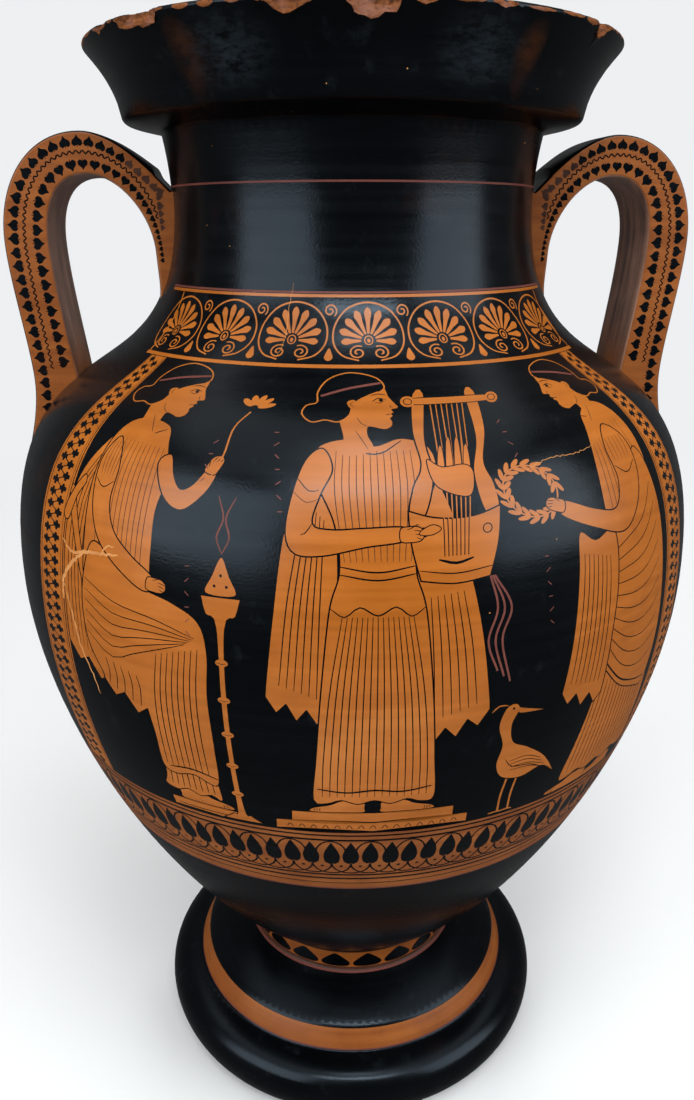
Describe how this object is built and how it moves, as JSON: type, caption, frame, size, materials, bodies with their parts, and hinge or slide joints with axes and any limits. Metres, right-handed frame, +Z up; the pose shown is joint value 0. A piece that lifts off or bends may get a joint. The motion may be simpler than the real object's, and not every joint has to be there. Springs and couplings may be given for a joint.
{
  "type": "red-figure amphora",
  "caption": "Large two-handled clay jar with flaring mouth, broad neck, rounded belly and stepped foot, painted in black and orange.",
  "frame": {"origin": "centre of the foot's underside, on the plane that the foot rests on", "axes": "+Z up along the turning axis, handles on +X and -X, main picture towards -Y"},
  "size_m": [0.3836, 0.3836, 0.605],
  "materials": {
    "painted_pottery": "gloss"
  },
  "bodies": {
    "root": {"amphora": "painted_pottery"}
  },
  "joints": []
}
